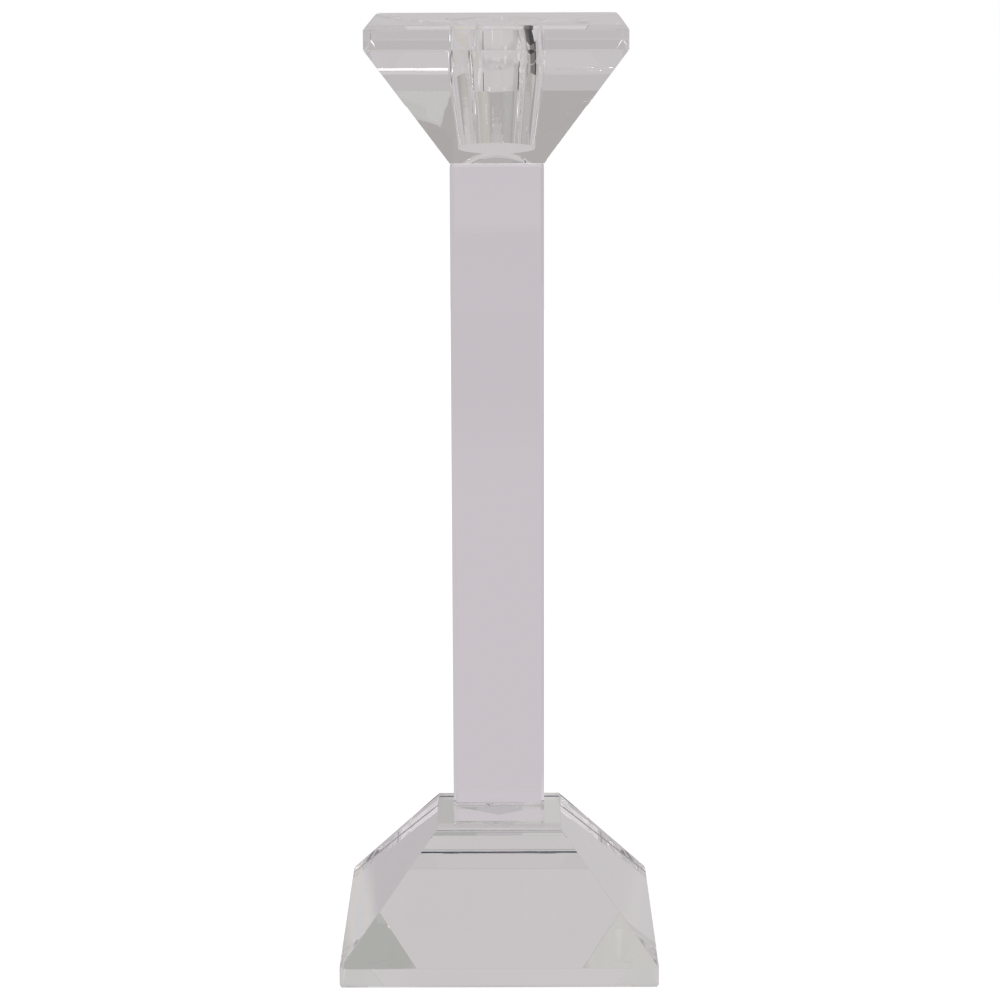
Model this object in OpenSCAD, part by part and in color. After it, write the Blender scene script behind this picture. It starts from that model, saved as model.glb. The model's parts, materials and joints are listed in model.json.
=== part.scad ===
/* [Base] */
// Width of the square foot
foot_w = 84; // [78:0.5:92]
// Height of the foot's upright side, up to where the pyramid starts
foot_side_h = 5.4; // [4:0.1:8]
// Bevel on the foot's upright corners
foot_corner_bevel = 1; // [0.6:0.1:2]
// Bevel round the foot's bottom edge
foot_edge_bevel = 0.6; // [0.3:0.1:1]
// Width of the flat plateau that carries the column
plateau_w = 33.7; // [28:0.1:40]
// Height of the plateau above the table
plateau_z = 35.5; // [30:0.1:42]

/* [Column] */
// Width of the square column
column_w = 24.4; // [20:0.1:26]
// Bevel on the column's long edges and round its two ends
column_bevel = 0.8; // [0.4:0.1:1]

/* [Cup] */
// Width of the square rim
rim_w = 66.5; // [60:0.5:72]
// Height of the rim's upright side, between its slope and its top bevel
rim_side_h = 5; // [4:0.1:8]
// Bevel round the rim's top edge
rim_bevel = 1; // [0.5:0.1:2]
// Height of the inverted pyramid, from the column to the rim
funnel_h = 30.5; // [26:0.5:34]

/* [Candle socket] */
// Diameter of the socket's straight mouth
socket_d = 24.8; // [22.4:0.1:25]
// Length of the straight mouth, down to where the taper starts
socket_mouth_h = 7.6; // [6:0.1:10]
// Diameter at the socket's flat bottom
socket_floor_d = 20; // [18:0.5:22]
// Depth of the whole socket
socket_depth = 29.6; // [24:0.1:32]

/* [Whole candlestick] */
// Height from the table to the top of the rim
total_h = 250; // [200:5:320]

/* [Hidden] */

fine_bevel = 0.2;         // polished arris round the plateau and on the rim's upright corners
socket_lip = 0.8;         // bevel at the socket's mouth
bond_t = 0.15;            // thickness of a film of adhesive

column_z = plateau_z + bond_t;
cup_z = total_h - rim_bevel - rim_side_h - funnel_h;
column_h = cup_z - bond_t - column_z;
bond_w = column_w - 2 * column_bevel;
cup_h = total_h - cup_z;
socket_z = total_h - socket_depth;

crystal = [0.86, 0.85, 0.88, 0.55];
adhesive = [0.95, 0.92, 0.82, 0.8];

$fn = 96;

// The outline of a square block as seen from one side, from points of [half width, height] up its right edge.
module outline(right_edge) {
    left_edge = [for (i = [len(right_edge) - 1:-1:0]) [-right_edge[i][0], right_edge[i][1]]];
    polygon(concat(right_edge, left_edge));
}

// A bar with that outline, upright and longer than the block is deep.
module bar(right_edge, long) {
    rotate([90, 0, 0])
        linear_extrude(height = long, center = true)
            outline(right_edge);
}

// A block with four like sides: two crossed bars of one outline, and a turned prism that cuts its upright corners.
module square_block(right_edge, corner_bevel) {
    w = 2 * max([for (p = right_edge) p[0]]);
    tall = 2 * max([for (p = right_edge) p[1]]) + 2;
    across_corners = (w - corner_bevel) * sqrt(2);
    intersection() {
        bar(right_edge, 2 * w);
        rotate(90) bar(right_edge, 2 * w);
        rotate(45) cube([across_corners, across_corners, tall], center = true);
    }
}

module base() {
    foot = foot_w / 2;
    plateau = plateau_w / 2;
    color(crystal)
        square_block([
            [foot - foot_edge_bevel, 0],
            [foot, foot_edge_bevel],
            [foot, foot_side_h],
            [plateau, plateau_z - fine_bevel],
            [plateau - fine_bevel, plateau_z]
        ], foot_corner_bevel);
}

module column() {
    half = column_w / 2;
    color(crystal)
        translate([0, 0, column_z])
            square_block([
                [half - column_bevel, 0],
                [half, column_bevel],
                [half, column_h - column_bevel],
                [half - column_bevel, column_h]
            ], column_bevel);
}

// The hole that takes the candle: a short straight mouth, a taper that grips the candle's foot, a flat floor.
module candle_socket() {
    r = socket_d / 2;
    past = 1;
    rotate_extrude()
        polygon([
            [0, socket_z],
            [socket_floor_d / 2, socket_z],
            [r, total_h - socket_mouth_h],
            [r, total_h - socket_lip],
            [r + socket_lip + past, total_h + past],
            [0, total_h + past]
        ]);
}

module cup() {
    foot = column_w / 2;
    rim = rim_w / 2;
    color(crystal)
        difference() {
            translate([0, 0, cup_z])
                square_block([
                    [foot, 0],
                    [rim, funnel_h],
                    [rim, cup_h - rim_bevel],
                    [rim - rim_bevel, cup_h]
                ], fine_bevel);
            candle_socket();
        }
}

module bond(z) {
    color(adhesive)
        translate([-bond_w / 2, -bond_w / 2, z])
            cube([bond_w, bond_w, bond_t]);
}

module lower_bond() {
    bond(plateau_z);
}

module upper_bond() {
    bond(cup_z - bond_t);
}

base();
column();
cup();
lower_bond();
upper_bond();
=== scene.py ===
"""Looks of the glass candlestick: three cut crystal blocks, joined by two films of clear adhesive."""

import json
import math

import bmesh
import bpy
from mathutils import Matrix, Vector, noise


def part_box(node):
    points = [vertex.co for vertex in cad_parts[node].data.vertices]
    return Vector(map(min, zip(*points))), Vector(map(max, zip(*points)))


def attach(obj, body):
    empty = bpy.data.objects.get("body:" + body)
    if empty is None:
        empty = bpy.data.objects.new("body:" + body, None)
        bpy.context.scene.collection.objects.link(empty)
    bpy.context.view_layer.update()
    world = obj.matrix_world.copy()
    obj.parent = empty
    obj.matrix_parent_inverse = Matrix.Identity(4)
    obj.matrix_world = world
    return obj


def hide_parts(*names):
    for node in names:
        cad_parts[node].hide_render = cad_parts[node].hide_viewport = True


MM = 0.001
GLASS_IOR = 1.517
ADHESIVE_IOR = 1.482
ROUND_STEPS = 160               # sides of the socket's wall
ARRIS = 0.10 * MM               # width of the polished rounding on every edge
PAINTED_SHADE_TALL = 0.35 * MM          # height up to which painted shade covers the foot's rear bottom edge
BEAD_CUTS = 40                  # cuts in each side of the column's lip, so that the bead's edge can wander
CORNERS = ((-1, -1), (1, -1), (1, 1), (-1, 1))
# The last slot carries painted shade: a dark film on the foot's rear bottom bevel.
WETTED, EDGE, BORED, PAINTED_SHADE_SLOT = range(1, 5)                # a block's material slots after its own glass
SKIN, TOUCHING = range(2)                               # a bond's material slots

# ---------------------------------------------------------------- sizes, all from the CAD frame

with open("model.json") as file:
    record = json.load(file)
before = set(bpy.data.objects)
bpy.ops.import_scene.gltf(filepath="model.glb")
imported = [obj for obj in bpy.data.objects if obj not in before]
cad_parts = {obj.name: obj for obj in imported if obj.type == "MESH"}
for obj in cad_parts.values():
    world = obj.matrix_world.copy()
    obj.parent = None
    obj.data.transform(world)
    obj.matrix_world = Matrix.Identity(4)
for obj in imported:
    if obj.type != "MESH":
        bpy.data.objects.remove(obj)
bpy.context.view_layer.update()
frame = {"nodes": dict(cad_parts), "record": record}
MOUTH = next(m for m in frame["record"]["mounts"] if m["kind"] == "bore")["dims"]["r_mm"] * MM
FOOT_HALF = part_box("base")[1].x
PLATEAU_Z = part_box("base")[1].z
COLUMN_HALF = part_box("column")[1].x
COLUMN_LOW, COLUMN_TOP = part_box("column")[0].z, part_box("column")[1].z
BOND_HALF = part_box("lower_bond")[1].x
CUP_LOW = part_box("cup")[0].z


def points_of(node, in_socket=False):
    """A CAD node's corner points, either those of its outside or those of the candle socket."""
    return [v.co for v in frame["nodes"][node].data.vertices
            if (math.hypot(v.co.x, v.co.y) < 1.1 * MOUTH) == in_socket]


def profile_of(node, in_socket=False):
    """(half width or radius, height) wherever a CAD node's outside or its socket turns, lowest first."""
    half = {}
    for co in points_of(node, in_socket):
        z = round(co.z, 6)
        half[z] = max(half.get(z, 0.0), co.x)
    ring = [(half[z], z) for z in sorted(half)]
    turns = [ring[0]]
    for here, after in zip(ring[1:], ring[2:]):
        before = turns[-1]
        share = (here[1] - before[1]) / (after[1] - before[1])
        if abs(here[0] - before[0] - share * (after[0] - before[0])) > 0.002 * MM:
            turns.append(here)
    return turns + [ring[-1]]


def corner_cut(node):
    """How much the bevel on a CAD block's upright corners takes off each side."""
    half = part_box(node)[1].x
    return half - max(co.y for co in points_of(node) if abs(co.x - half) < 0.01 * MM)


# ---------------------------------------------------------------- shader helpers

def add(tree, kind, **values):
    """A shader node with its sockets set: numbers and colours go in as they are, sockets are linked."""
    n = tree.nodes.new("ShaderNode" + kind)
    for key, value in values.items():
        if key[0] == "i" and key[1:].isdigit():
            socket = n.inputs[int(key[1:])]
        elif key.replace("_", " ") in n.inputs:
            socket = n.inputs[key.replace("_", " ")]
        else:
            setattr(n, key, value)
            continue
        if isinstance(value, bpy.types.NodeSocket):
            tree.links.new(value, socket)
        else:
            socket.default_value = value
    return n


def math_of(tree, operation, a, b=0.0):
    return add(tree, "Math", operation=operation, i0=a, i1=b).outputs[0]


def ramp_of(tree, value, low, high, at_low=0.0, at_high=1.0, smooth=True):
    """Goes from at_low to at_high as the value goes from low to high."""
    how = "SMOOTHSTEP" if smooth else "LINEAR"
    return add(tree, "MapRange", interpolation_type=how, Value=value, From_Min=low, From_Max=high,
               To_Min=at_low, To_Max=at_high).outputs[0]


def mix_of(tree, factor, a, b):
    return add(tree, "MixRGB", Fac=factor, Color1=a, Color2=b).outputs[0]


def noise_of(tree, where, scale, detail=2.0, roughness=0.5):
    return add(tree, "TexNoise", Vector=where, Scale=scale, Detail=detail, Roughness=roughness).outputs["Fac"]


def object_place(tree):
    """The point being shaded, in the object's own metres."""
    return add(tree, "TexCoord").outputs["Object"]


def world_place(tree):
    """The x, y and z of the point being shaded."""
    return add(tree, "SeparateXYZ", i0=add(tree, "NewGeometry").outputs["Position"]).outputs


# ---------------------------------------------------------------- materials

CLEAN_EDGE = (0.97, 0.97, 0.965)
# Painted shade: the dark blue-grey film on the foot's rear bottom bevel.
PAINTED_SHADE_COLOUR = (0.12, 0.18, 0.26)
SEED_GREY = (0.62, 0.61, 0.58)
ADHESIVE_CLEAR = (0.985, 0.97, 0.94)
ADHESIVE_DUSTY = (0.72, 0.68, 0.60)


def glass(name, tint, ior=GLASS_IOR):
    """A clear material with nothing on its surface yet: the material, its node tree and its shader."""
    m = bpy.data.materials.new(name)
    m.use_nodes = True
    p = m.node_tree.nodes["Principled BSDF"]
    p.inputs["Base Color"].default_value = (*tint, 1)
    p.inputs["IOR"].default_value = ior
    p.inputs["Transmission Weight"].default_value = 1.0
    return m, m.node_tree, p


def waves(tree, where, sizes):
    """A chain of bumps from (wavelength in mm, steepness) pairs."""
    normal = None
    for wavelength, steepness in sizes:
        height = noise_of(tree, where, 1 / (wavelength * MM), 1.0)
        bump = add(tree, "Bump", Strength=1.0, Distance=steepness * wavelength * MM, Height=height)
        if normal:
            tree.links.new(normal, bump.inputs["Normal"])
        normal = bump.outputs[0]
    return normal


def crystal(name, tint):
    """Lapped and polished optical glass: long soft waves from the lap, a few wiped smears, pinpoint seeds."""
    m, t, p = glass(name, tint)
    where = object_place(t)
    t.links.new(waves(t, where, [(24, 0.0009), (3, 0.0002)]), p.inputs["Normal"])
    smear = ramp_of(t, noise_of(t, where, 45, 5.0, 0.6), 0.62, 0.82, 0.0, 0.012)
    seeds = add(t, "TexVoronoi", Vector=where, Scale=70.0)
    near = ramp_of(t, seeds.outputs["Distance"], 0.010, 0.022, 1.0, 0.0)
    chosen = ramp_of(t, add(t, "SeparateColor", Color=seeds.outputs["Color"]).outputs[0], 0.70, 0.72)
    speck = math_of(t, "MULTIPLY", near, chosen)
    t.links.new(math_of(t, "MAXIMUM", smear, math_of(t, "MULTIPLY", speck, 0.5)), p.inputs["Roughness"])
    t.links.new(mix_of(t, speck, (*tint, 1), (*SEED_GREY, 1)), p.inputs["Base Color"])
    return m


def edge_polish():
    """The rounded edges: slightly duller than the faces, with fine nicks from use."""
    m, t, p = glass("worn_edge", CLEAN_EDGE)
    where = object_place(t)
    nick = ramp_of(t, noise_of(t, where, 500, 3.0, 0.7), 0.66, 0.74)
    t.links.new(ramp_of(t, nick, 0, 1, 0.01, 0.12), p.inputs["Roughness"])
    t.links.new(waves(t, where, [(4, 0.003), (0.8, 0.003)]), p.inputs["Normal"])
    return m


def painted_shade_edge():
    """The foot's rear bottom bevel, with painted shade: a dark blue-grey film, up to an uneven height above
    the table, stands for the shade where the foot meets it.
    """
    # The bevel's glass is tinted dark as well, which is painted shade too.
    m, t, p = glass("painted_shade_edge", (0.20, 0.25, 0.30))
    where = object_place(t)
    height = add(t, "SeparateXYZ", i0=where).outputs[2]
    uneven = ramp_of(t, noise_of(t, where, 160, 4.0, 0.6), 0.3, 0.7, -0.08 * MM, 0.08 * MM, smooth=False)
    level = math_of(t, "ADD", height, uneven)
    # film is the painted shade's mask: full below the uneven height, none above it.
    film = ramp_of(t, level, PAINTED_SHADE_TALL - 0.06 * MM, PAINTED_SHADE_TALL + 0.06 * MM, 1.0, 0.0)
    t.links.new(mix_of(t, film, (*CLEAN_EDGE, 1), (*PAINTED_SHADE_COLOUR, 1)), p.inputs["Base Color"])
    t.links.new(ramp_of(t, film, 0, 1, 0.01, 0.08), p.inputs["Roughness"])
    return m


def bored():
    """The socket's wall: drilled and then polished, so it keeps faint rings round its axis."""
    m, t, p = glass("bored_glass", (0.99, 0.99, 0.985))
    rings = add(t, "VectorMath", operation="MULTIPLY", i0=object_place(t), i1=(1.0, 1.0, 12.0)).outputs[0]
    t.links.new(waves(t, rings, [(20, 0.0008)]), p.inputs["Normal"])
    t.links.new(ramp_of(t, noise_of(t, rings, 120, 3.0), 0.45, 0.75, 0.0, 0.05), p.inputs["Roughness"])
    return m


def wetted():
    """Glass under adhesive, whose index is a little lower. At a low angle the face is still a mirror."""
    m, t, p = glass("wetted_glass", (1.0, 1.0, 1.0), GLASS_IOR / ADHESIVE_IOR)
    where = object_place(t)
    t.links.new(waves(t, where, [(6, 0.0006)]), p.inputs["Normal"])
    t.links.new(ramp_of(t, noise_of(t, where, 300, 3.0), 0.62, 0.74, 0.0, 0.04), p.inputs["Roughness"])
    return m


def touching():
    """The adhesive's own side of a wetted face. It is left clear, as the glass's side stands for both."""
    m = bpy.data.materials.new("touching_face")
    m.use_nodes = True
    m.node_tree.nodes["Principled BSDF"].inputs["Alpha"].default_value = 0.0
    return m


def adhesive():
    """Cured clear adhesive: soft skin, the faintest straw tint, dust caught in its bead."""
    m, t, p = glass("cured_adhesive", (0.97, 0.95, 0.90))
    where = object_place(t)
    dust = ramp_of(t, noise_of(t, where, 700, 3.0, 0.65), 0.58, 0.70)
    t.links.new(mix_of(t, dust, (*ADHESIVE_CLEAR, 1), (*ADHESIVE_DUSTY, 1)), p.inputs["Base Color"])
    t.links.new(ramp_of(t, dust, 0, 1, 0.02, 0.35), p.inputs["Roughness"])
    t.links.new(waves(t, where, [(3, 0.03), (0.6, 0.03)]), p.inputs["Normal"])
    return m


SHARED = [wetted(), edge_polish(), bored(), painted_shade_edge()]
CLEAR_BLOCK = [crystal("polished_crystal", (0.995, 0.990, 0.992)), *SHARED]
COLUMN_BAR = [crystal("violet_crystal", (0.985, 0.950, 1.0)), *SHARED]
BOND_MATERIALS = [adhesive(), touching()]

# ---------------------------------------------------------------- shapes


def block(node, sharp_below=None):
    """A CAD block's outside as a new closed mesh, with its edges rounded, apart from those below a height."""
    bm = bmesh.new()
    rings = [[bm.verts.new((sx * half, sy * half, z)) for sx, sy in CORNERS] for half, z in profile_of(node)]
    bm.faces.new(reversed(rings[0]))
    for low, high in zip(rings, rings[1:]):
        for i in range(4):
            bm.faces.new((low[i], low[i - 3], high[i - 3], high[i]))
    bm.faces.new(rings[-1])
    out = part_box(node)[1].x - corner_cut(node) / 2
    for sx, sy in CORNERS:
        bmesh.ops.bisect_plane(bm, geom=bm.verts[:] + bm.edges[:] + bm.faces[:], clear_outer=True,
                               plane_co=(sx * out, sy * out, 0), plane_no=(sx, sy, 0))
        bmesh.ops.holes_fill(bm, edges=[e for e in bm.edges if e.is_boundary], sides=0)
    edges = [e for e in bm.edges if sharp_below is None or max(v.co.z for v in e.verts) > sharp_below]
    rounding = bmesh.ops.bevel(bm, geom=edges, offset=ARRIS, offset_type="OFFSET", segments=2, profile=0.5,
                               affect="EDGES", clamp_overlap=True)
    for f in rounding["faces"]:
        f.material_index = EDGE
    return bm


def biggest_face(bm, up):
    """The largest face that looks straight up (1) or straight down (-1)."""
    return max((f for f in bm.faces if f.normal.z * up > 0.999), key=lambda f: f.calc_area())


def pierce(bm, face, ring):
    """Opens a ring-shaped hole in a flat face and returns the ring's new vertices."""
    edges = list(face.edges)
    bmesh.ops.delete(bm, geom=[face], context="FACES_ONLY")
    verts = [bm.verts.new(p) for p in ring]
    edges += [bm.edges.new((a, b)) for a, b in zip(verts, verts[1:] + verts[:1])]
    bmesh.ops.triangle_fill(bm, use_beauty=True, use_dissolve=True, edges=edges)
    return verts


def wet_patch(bm, up, ring):
    """Marks the part of a block's flat end that the adhesive wets."""
    bm.faces.new(pierce(bm, biggest_face(bm, up), ring)).material_index = WETTED


def wall(bm, one, other, slot):
    """Smooth faces all the way round between two rings of vertices."""
    for i in range(len(one)):
        f = bm.faces.new((one[i - 1], one[i], other[i], other[i - 1]))
        f.smooth = True
        f.material_index = slot


def circle(radius, z):
    turns = [2 * math.pi * i / ROUND_STEPS for i in range(ROUND_STEPS)]
    return [(radius * math.cos(a), radius * math.sin(a), z) for a in turns]


def stray(p, *swings):
    """How far an edge of adhesive wanders at a point: the sum of (wavelength in mm, share, seed) swings."""
    return sum(noise.noise((p.x / (size * MM), p.y / (size * MM), seed)) * share
               for size, share, seed in swings)


def finished(bm, name, node, materials):
    """Turns a mesh into a piece that stands for a CAD node."""
    bmesh.ops.recalc_face_normals(bm, faces=bm.faces[:])
    mesh = bpy.data.meshes.new(name)
    bm.to_mesh(mesh)
    bm.free()
    for m in materials:
        mesh.materials.append(m)
    piece = bpy.data.objects.new(name, mesh)
    bpy.context.scene.collection.objects.link(piece)
    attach(piece, "root")
    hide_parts(node)
    return piece


# ---------------------------------------------------------------- the column's foot and its bead

def foot_faces(column):
    """The column's flat lower end and the bevel round it, which faces down at 45 degrees."""
    return [f for f in column.faces if f.normal.z < -0.6]


def lip_edges(column):
    """The edges between the column's bevelled foot and its sides."""
    foot = foot_faces(column)
    return [e for e in column.edges if sum(f in foot for f in e.link_faces) == 1]


def in_order(edges):
    """The vertices of one closed loop of edges, each beside the next."""
    beside = {}
    for e in edges:
        for v in e.verts:
            beside.setdefault(v, []).append(e.other_vert(v))
    start = next(iter(beside))
    loop = [start, beside[start][0]]
    while True:
        following = next(v for v in beside[loop[-1]] if v is not loop[-2])
        if following is start:
            return loop
        loop.append(following)


def column_on_its_bead():
    """The column: the adhesive has run out into its foot's bevel, so it wets the bevel as well as the end."""
    bm = block("column", sharp_below=COLUMN_LOW + 1.01 * (COLUMN_HALF - BOND_HALF))
    sides = [e for e in lip_edges(bm) if e.calc_length() > 5 * MM]
    bmesh.ops.subdivide_edges(bm, edges=sides, cuts=BEAD_CUTS)
    for f in foot_faces(bm):
        f.material_index = WETTED
    return bm


def bead_foot(p):
    """Where the bead below a point of the column's lip meets the plateau."""
    wander = 0.25 * MM * stray(p, (5, 0.5, 3.0), (0.9, 0.3, 7.0))
    reach = min(1.0, (COLUMN_HALF - 0.05 * MM + wander) / max(abs(p.x), abs(p.y)))
    return Vector((p.x * reach, p.y * reach, PLATEAU_Z))


def bead_outlines(column):
    """The bead's upper and lower edges, both anticlockwise seen from above."""
    upper = [v.co.copy() for v in in_order(lip_edges(column))]
    lower = [bead_foot(p) for p in upper]
    if sum(a.x * b.y - b.x * a.y for a, b in zip(lower, lower[1:] + lower[:1])) < 0:
        upper.reverse()
        lower.reverse()
    return upper, lower


def bead(column, upper, lower):
    """The adhesive under the column: it fits the wetted foot above and lies flat on the plateau below."""
    bm = bmesh.new()
    made = {}

    def shared(co):
        key = tuple(round(c, 8) for c in co)
        if key not in made:
            made[key] = bm.verts.new(co)
        return made[key]

    for f in foot_faces(column):
        bm.faces.new([shared(v.co) for v in reversed(f.verts)]).material_index = TOUCHING
    low = [bm.verts.new(p) for p in lower]
    wall(bm, low, [shared(p) for p in upper], SKIN)
    bm.faces.new(low).material_index = TOUCHING
    return bm


# ---------------------------------------------------------------- the film under the cup

def film_outline(half, corner, seed):
    """The (x, y) points of a square with round corners, whose edge wanders as squeezed adhesive does."""
    side_steps, bend_steps = 24, 8
    points = []
    for side in range(4):
        turn = Matrix.Rotation(side * math.pi / 2, 2)
        straight = [(half, (half - corner) * (2 * i / side_steps - 1)) for i in range(side_steps)]
        bend = [(half - corner + corner * math.cos(a), half - corner + corner * math.sin(a))
                for a in (math.pi / 2 * i / bend_steps for i in range(bend_steps))]
        points += [turn @ Vector(p) for p in straight + bend]
    inward = [max(0.0, stray(p, (4, 0.5, seed), (1, 0.15, seed + 9))) for p in points]
    return [p * (1 - by * 0.6 * MM / half) for p, by in zip(points, inward)]


def film_between(outline):
    """The film from the column's top to the cup's foot, drawn in a little at mid height."""
    bm = bmesh.new()
    waist = 0.03 * MM
    levels = []
    for share, inset in ((0, 0), (0.3, waist), (0.7, waist), (1, 0)):
        z = COLUMN_TOP + share * (CUP_LOW - COLUMN_TOP)
        levels.append([bm.verts.new((*(p * (1 - inset / BOND_HALF)), z)) for p in outline])
    for low, high in zip(levels, levels[1:]):
        wall(bm, low, high, SKIN)
    bm.faces.new(levels[0]).material_index = TOUCHING
    bm.faces.new(levels[-1]).material_index = TOUCHING
    return bm


# ---------------------------------------------------------------- the base and the cup

def base_under(outline):
    """The base, wetted under the bead, with painted shade on the bevel along its rear bottom edge."""
    bm = block("base")
    for f in bm.faces:
        at = f.calc_center_median()
        # The low faces along the rear edge get the painted shade.
        if at.z < 2 * PAINTED_SHADE_TALL and at.y > FOOT_HALF - 1 * MM:
            f.material_index = PAINTED_SHADE_SLOT
    wet_patch(bm, 1, outline)
    return bm


def cup_over(outline):
    """The cup, wetted over the film, with its candle socket."""
    bm = block("cup")
    wet_patch(bm, -1, [(p.x, p.y, CUP_LOW) for p in outline])
    socket = profile_of("cup", True)
    ring = pierce(bm, biggest_face(bm, 1), circle(*socket[-1]))
    for radius, z in reversed(socket[:-1]):
        lower = [bm.verts.new(p) for p in circle(radius, z)]
        wall(bm, ring, lower, BORED)
        ring = lower
    bm.faces.new(ring).material_index = BORED
    for e in bm.edges:
        if len(e.link_faces) == 2 and e.calc_face_angle(0) > math.radians(20):
            e.smooth = False
    return bm


column = column_on_its_bead()
bead_upper, bead_lower = bead_outlines(column)
finished(bead(column, bead_upper, bead_lower), "lower_bond_bead", "lower_bond", BOND_MATERIALS)
finished(base_under(bead_lower), "base_block", "base", CLEAR_BLOCK)

# Between column and cup the adhesive stops short of the edges, so the column's upper bevel stays dry.
film = film_outline(BOND_HALF - 2 * ARRIS, 1.2 * MM, 5.0)
wet_patch(column, 1, [(p.x, p.y, COLUMN_TOP) for p in film])
finished(column, "column_block", "column", COLUMN_BAR)
finished(film_between(film), "upper_bond_film", "upper_bond", BOND_MATERIALS)
finished(cup_over(film), "cup_block", "cup", CLEAR_BLOCK)

# ---------------------------------------------------------------- camera

CAMERA_AT = Vector((0.53, -814.75, 291.57)) * MM
HEADING, PITCH, ROLL = 0.0020, 0.2048, -0.0033          # in radians
LENS = 111.75                                           # in millimetres, for a sensor 36 mm wide

camera_data = bpy.data.cameras.new("camera")
camera_data.sensor_width = 36
camera_data.lens = LENS
camera_data.clip_start, camera_data.clip_end = 0.01, 50
camera = bpy.data.objects.new("camera", camera_data)
bpy.context.scene.collection.objects.link(camera)
camera.matrix_world = (Matrix.Rotation(HEADING, 4, "Z") @ Matrix.Translation(CAMERA_AT)
                       @ Matrix.Rotation(math.pi / 2 - PITCH, 4, "X") @ Matrix.Rotation(ROLL, 4, "Z"))
bpy.context.scene.camera = camera

# ---------------------------------------------------------------- studio
# The camera sees plain white all round. The glass sees the studio that the object stands in.

MAUVE = (1.0, 0.945, 1.0)
PALE = (1.0, 0.965, 0.975)
WARM = (1.0, 0.95, 0.88)
DULL = (1.0, 0.95, 0.94)
WHITE = (1, 1, 1, 1)


def tone(level, tint=PALE):
    return (*(level * c for c in tint), 1)


def stage_material(name):
    """An empty material for the studio, and its node tree."""
    m = bpy.data.materials.new(name)
    m.use_nodes = True
    m.node_tree.nodes.clear()
    return m, m.node_tree


def end_tree(tree, output, to_glass, to_camera):
    """Ends a shader tree: one shader for rays through the glass and another for the camera's own rays."""
    pick = add(tree, "MixShader", Fac=add(tree, "LightPath").outputs["Is Camera Ray"],
               i1=to_glass.outputs[0], i2=to_camera.outputs[0])
    add(tree, output, Surface=pick.outputs[0])


def studio_world():
    """A grey room: lighter to the left, and darker to the right and overhead."""
    world = bpy.data.worlds.new("studio")
    world.use_nodes = True
    t = world.node_tree
    t.nodes.clear()
    right, rear, up = add(t, "SeparateXYZ", i0=add(t, "TexCoord").outputs["Generated"]).outputs[:3]
    room = mix_of(t, ramp_of(t, rear, -0.35, 0.25), tone(0.47), tone(0.515))
    left_side = mix_of(t, ramp_of(t, up, 0.56, 0.62), tone(0.57), tone(0.49, WARM))
    right_side = mix_of(t, ramp_of(t, up, 0.60, 0.66), tone(0.45), tone(0.36))
    room = mix_of(t, ramp_of(t, right, -0.3, -0.7), room, left_side)
    room = mix_of(t, ramp_of(t, right, 0.3, 0.7), room, right_side)
    to_the_rear = ramp_of(t, rear, -0.1, 0.1)
    above = mix_of(t, to_the_rear, tone(0.415, DULL), tone(0.44, DULL))
    above_right = mix_of(t, to_the_rear, tone(0.44), tone(0.38))
    above = mix_of(t, ramp_of(t, right, 0.22, 0.34), above, above_right)
    above = mix_of(t, ramp_of(t, right, -0.22, -0.36), above, tone(0.52, WARM))
    room = mix_of(t, ramp_of(t, up, 0.70, 0.77), room, above)
    end_tree(t, "OutputWorld", add(t, "Background", Color=room), add(t, "Background", Color=WHITE))
    bpy.context.scene.world = world


# The floor's zones, in metres: x is to the right of the candlestick's axis and y is to its rear.
LIGHT_AT = (FOOT_HALF + 0.028, 0.080)       # centre of the light that the foot throws, on each side
LIGHT_FADE = (0.02, 0.07)                   # distances from there at which it starts to fade and is gone
DARK_END = (0.20, 0.26)                     # x at which the dark end starts and is complete
DARK_END_SLANT = 2.2                        # how much farther right that is for each metre to the rear
DARK_END_FRONT = (-0.36, -0.32)             # y at which it starts and is complete
CONTACT_SHADE = (0.012, 0.028, 0.055, 1)


def open_floor(t, right, rear, out):
    """The floor round the foot: paler farther out, mauve to the left, duller at the far rear and far left."""
    colour = mix_of(t, ramp_of(t, out, 0.001, 0.08), tone(0.56), tone(0.59))
    colour = mix_of(t, ramp_of(t, rear, 0.6, 0.9), colour, tone(0.565))
    colour = mix_of(t, ramp_of(t, right, -0.05, -0.09), colour, tone(0.60, MAUVE))
    return mix_of(t, ramp_of(t, right, -0.5, -0.8), colour, tone(0.56, WARM))


def with_thrown_light(t, colour, right, rear, wide):
    """Adds the streaky light that the foot throws behind itself, stronger on the left."""
    x = math_of(t, "SUBTRACT", wide, LIGHT_AT[0])
    y = math_of(t, "SUBTRACT", rear, LIGHT_AT[1])
    squared = math_of(t, "ADD", math_of(t, "MULTIPLY", x, x), math_of(t, "MULTIPLY", y, y))
    apart = math_of(t, "SQRT", squared)
    across = add(t, "CombineXYZ", X=right).outputs[0]
    streaks = ramp_of(t, noise_of(t, across, 150, 1.0), 0.4, 0.6)
    light = mix_of(t, streaks, (0.78, 0.79, 0.82, 1), tone(0.85, WARM))
    strength = math_of(t, "MULTIPLY", ramp_of(t, apart, *LIGHT_FADE, 1.0, 0.0),
                       ramp_of(t, right, -0.05, 0.05, 0.9, 0.25))
    return mix_of(t, strength, colour, light)


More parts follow.
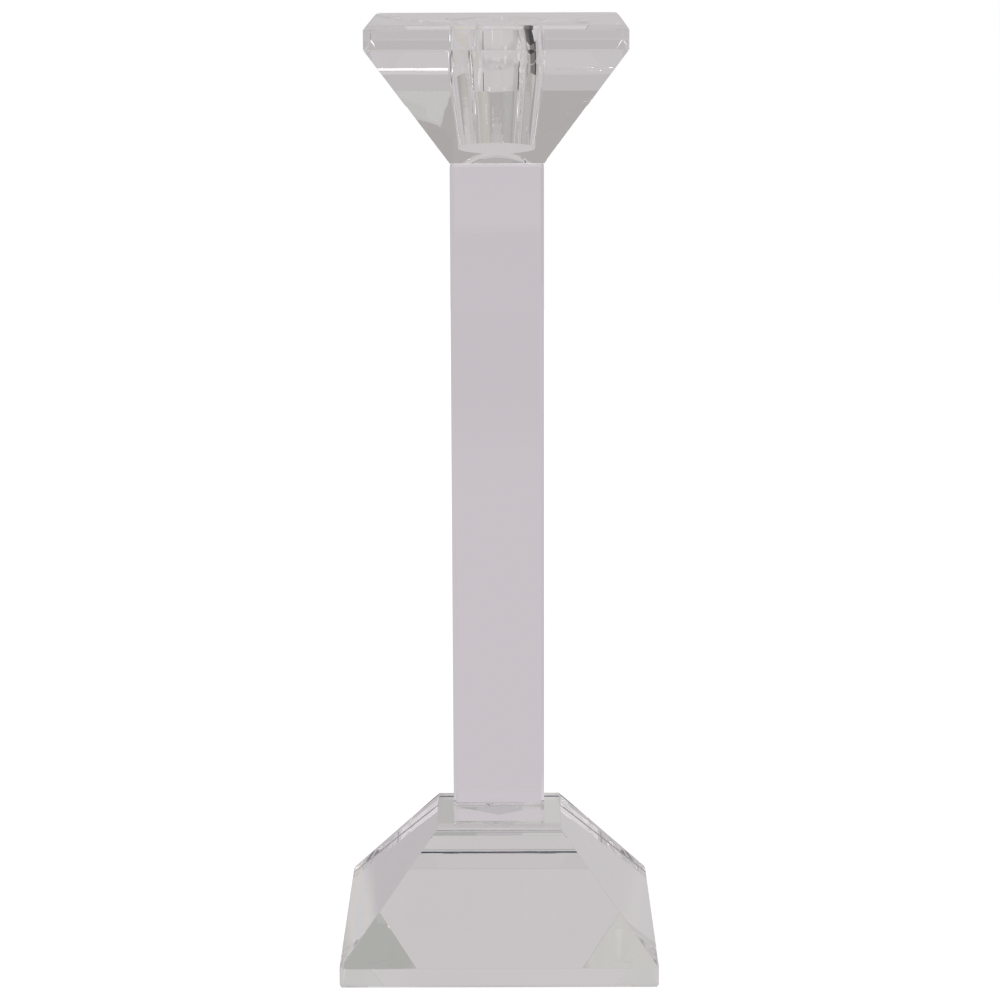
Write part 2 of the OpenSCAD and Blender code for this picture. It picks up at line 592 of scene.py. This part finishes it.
def with_painted_shade_under_foot(t, colour, right, rear, wide, out):
    """Adds painted shade and light under the foot: a front part, a darker rear part in painted shade, and a
    patch on each side of the rear, with painted shade on the left and painted light on the right.
    """
    # Painted shade under the foot's rear, and painted shade and light in the two rear patches.
    beneath = mix_of(t, ramp_of(t, rear, 0.012, 0.0145), tone(0.575), tone(0.49))
    patch = mix_of(t, ramp_of(t, right, -0.006, 0.006), (0.41, 0.415, 0.395, 1), (0.575, 0.57, 0.545, 1))
    patch = mix_of(t, ramp_of(t, wide, 0.0255, 0.0275), patch, (0.565, 0.56, 0.55, 1))
    in_patch = math_of(t, "MULTIPLY", ramp_of(t, rear, 0.016, 0.019), ramp_of(t, wide, 0.006, 0.007))
    beneath = mix_of(t, in_patch, beneath, patch)
    return mix_of(t, ramp_of(t, out, -0.001, 0, 1, 0), colour, beneath)


def with_dark_end(t, colour, right, rear):
    """Adds the dark end of the floor on the right, which is blacker towards the rear."""
    slant = math_of(t, "MULTIPLY", math_of(t, "MAXIMUM", rear, 0.0), DARK_END_SLANT)
    reach = math_of(t, "SUBTRACT", right, slant)
    there = math_of(t, "MULTIPLY", ramp_of(t, reach, *DARK_END), ramp_of(t, rear, *DARK_END_FRONT))
    dark = mix_of(t, ramp_of(t, rear, -0.15, 0.05), tone(0.10, WARM), tone(0.01))
    return mix_of(t, there, colour, dark)


def with_contact_shade(t, colour, rear, out):
    """Adds the thin shade where the foot meets the floor, three times as wide along its front half."""
    wider = ramp_of(t, rear, -0.01, 0.01, 3.0, 1.0)
    shade = ramp_of(t, math_of(t, "DIVIDE", out, wider), 0.5 * MM, 1.2 * MM, 1, 0)
    contact = math_of(t, "MULTIPLY", ramp_of(t, out, -0.4 * MM, -0.39 * MM), shade)
    return mix_of(t, contact, colour, CONTACT_SHADE)


def floor_material():
    """A pale sweep, with what light and shade the candlestick itself throws on it."""
    m, t = stage_material("pale_floor")
    right, rear = world_place(t)[:2]
    wide, deep = math_of(t, "ABSOLUTE", right), math_of(t, "ABSOLUTE", rear)
    out = math_of(t, "SUBTRACT", math_of(t, "MAXIMUM", wide, deep), FOOT_HALF)
    colour = open_floor(t, right, rear, out)
    colour = with_thrown_light(t, colour, right, rear, wide)
    colour = with_painted_shade_under_foot(t, colour, right, rear, wide, out)
    colour = with_dark_end(t, colour, right, rear)
    colour = with_contact_shade(t, colour, rear, out)
    matte = add(t, "BsdfDiffuse", Color=(0.5, 0.49, 0.5, 1))
    lit = add(t, "Emission", Strength=0.86)
    white = add(t, "AddShader", i0=matte.outputs[0], i1=lit.outputs[0])
    end_tree(t, "OutputMaterial", add(t, "Emission", Color=colour), white)
    return m


# (height in metres, brightness) up the backdrop, and a height that is above them all.
BACKDROP_TONES = [(0.0, 0.57), (0.12, 0.56), (0.18, 0.50), (0.25, 0.51), (0.33, 0.59), (0.50, 0.585),
                  (0.57, 0.495), (0.70, 0.475), (0.80, 0.47), (1.00, 0.55)]
BACKDROP_TALL = 1.6


def backdrop_material():
    """The sweep behind, lit by strips at two heights."""
    m, t = stage_material("backdrop")
    ramp = add(t, "ValToRGB", Fac=math_of(t, "DIVIDE", world_place(t)[2], BACKDROP_TALL))
    while len(ramp.color_ramp.elements) < len(BACKDROP_TONES):
        ramp.color_ramp.elements.new(0.5)
    for e, (height, level) in zip(ramp.color_ramp.elements, BACKDROP_TONES):
        e.position = height / BACKDROP_TALL
        e.color = tone(level)
    end_tree(t, "OutputMaterial", add(t, "Emission", Color=ramp.outputs[0]), add(t, "Emission", Color=WHITE))
    return m


def card_material(name, colour):
    m, t = stage_material(name)
    add(t, "OutputMaterial", Surface=add(t, "Emission", Color=colour).outputs[0])
    return m


def stage_plane(name, material, size=1, **place):
    """A flat sheet of the studio, which isn't part of the candlestick."""
    bpy.ops.mesh.primitive_plane_add(size=size, **place)
    piece = bpy.context.object
    piece.name = name
    piece.data.materials.append(material)
    return piece


def card(name, at, width, height, colour):
    """A card that only the glass sees, facing the middle of the object."""
    piece = stage_plane(name, card_material(name, colour))
    to_object = (Vector((0, 0, 0.2)) - Vector(at)).to_track_quat("Z", "Y").to_matrix().to_4x4()
    piece.matrix_world = Matrix.Translation(at) @ to_object @ Matrix.Diagonal((width, height, 1, 1))
    piece.visible_camera = False
    piece.visible_diffuse = False


studio_world()
stage_plane("floor", floor_material(), 20, location=(0, 0, -0.02 * MM))
backdrop = stage_plane("backdrop", backdrop_material(), location=(0, 1.2, 0.95), rotation=(math.pi / 2, 0, 0))
backdrop.scale = (2.0, 2.0, 1)

# Each card's place, width and height are in metres.
card("front_panel", CAMERA_AT + Vector((0, -0.04, 0)), 0.40, 0.40, tone(0.88))
card("right_window", (0.79, -0.62, 0.46), 0.24, 0.24, tone(1.2))
card("left_strip", (-0.60, -0.80, 0.38), 0.12, 0.5, tone(2.0))
card("right_strip", (0.55, -0.85, 0.38), 0.16, 0.5, tone(4.0))
card("top_box", (0, -0.02, 1.5), 0.45, 0.45, tone(1.6))
card("black_flag", (1.21, 0.60, 0.40), 0.18, 0.45, tone(0.01))
card("brown_panel", (1.42, 0.26, 0.48), 0.66, 0.55, tone(0.16, WARM))
card("left_gobo", (-0.60, 1.08, 0.52), 0.04, 0.36, tone(0.05, WARM))
card("upper_left", (-0.056, -0.152, 1.0), 0.08, 0.08, (0.52, 0.52, 0.51, 1))
card("rear_left_shade", (-0.56, 0.56, 1.10), 0.50, 0.34, tone(0.34))

BOUNCES = 32                    # enough for light to leave the three blocks after many inner reflections
scene = bpy.context.scene
scene.view_settings.view_transform = "Standard"
scene.cycles.max_bounces = BOUNCES
scene.cycles.transmission_bounces = BOUNCES
scene.cycles.glossy_bounces = BOUNCES
scene.cycles.transparent_max_bounces = BOUNCES
